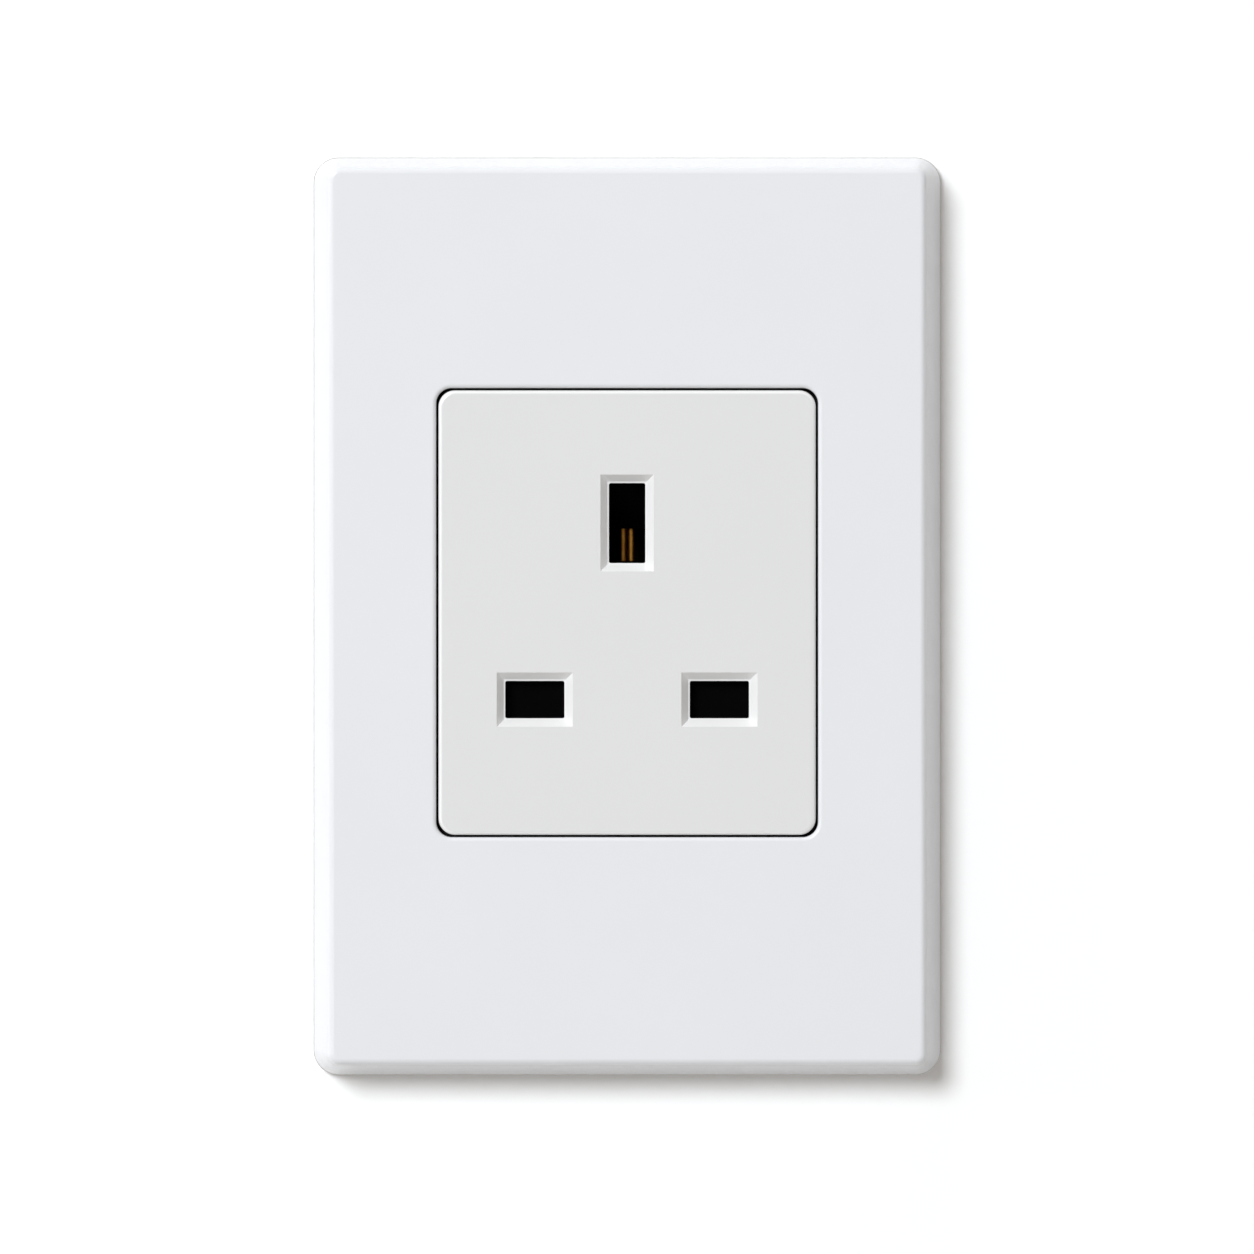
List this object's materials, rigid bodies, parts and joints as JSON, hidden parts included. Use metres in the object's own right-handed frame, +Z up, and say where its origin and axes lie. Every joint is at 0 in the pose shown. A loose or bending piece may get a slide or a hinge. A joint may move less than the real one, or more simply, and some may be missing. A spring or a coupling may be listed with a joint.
{
  "type": "wall socket",
  "caption": "Flush wall socket for plugs with flat pins: bevelled slots with a sliding shutter, in a tall clip-on cover plate.",
  "frame": {"origin": "centre of the cover plate, on the wall's surface", "axes": "+X to the right as seen from the room, +Y into the wall, +Z up, along the plate's long side; the face looks along -Y"},
  "size_m": [0.0764, 0.0306, 0.112],
  "materials": {
    "plate_white": "satin gloss moulding, cool white",
    "face_white": "satin moulding, neutral white",
    "frame_grey": "matt moulding, anthracite",
    "base_black": "matt moulding, black",
    "shutter_black": "matt moulding, black",
    "contact_brass": "rolled strip",
    "terminal_brass": "cut from bar",
    "plated_steel": "bright zinc plate",
    "spring_steel": "drawn wire"
  },
  "bodies": {
    "root": {"cover_plate": "plate_white", "mounting_frame": "frame_grey", "fixing_screw_top": "plated_steel", "fixing_screw_bottom": "plated_steel", "socket_face": "face_white", "socket_base": "base_black", "shutter_spring": "spring_steel", "line_contact": "contact_brass", "neutral_contact": "contact_brass", "earth_contact": "contact_brass", "line_terminal": "terminal_brass", "neutral_terminal": "terminal_brass", "earth_terminal": "terminal_brass", "line_terminal_screw": "plated_steel", "neutral_terminal_screw": "plated_steel", "earth_terminal_screw": "plated_steel", "line_rivet": "terminal_brass", "neutral_rivet": "terminal_brass", "earth_rivet": "terminal_brass", "assembly_screw_upper_right": "plated_steel", "assembly_screw_upper_left": "plated_steel", "assembly_screw_lower_right": "plated_steel", "assembly_screw_lower_left": "plated_steel"},
    "shutter_slider": {"shutter": "shutter_black"}
  },
  "joints": [
    {"name": "shutter_slide", "type": "slide", "parent": "root", "child": "shutter_slider", "axis": [0, 0, 1], "range_m": [0, 0.0053], "stiffness_N_per_m": 150, "springref_m": -0.004, "deforming": ["shutter_spring"]}
  ]
}
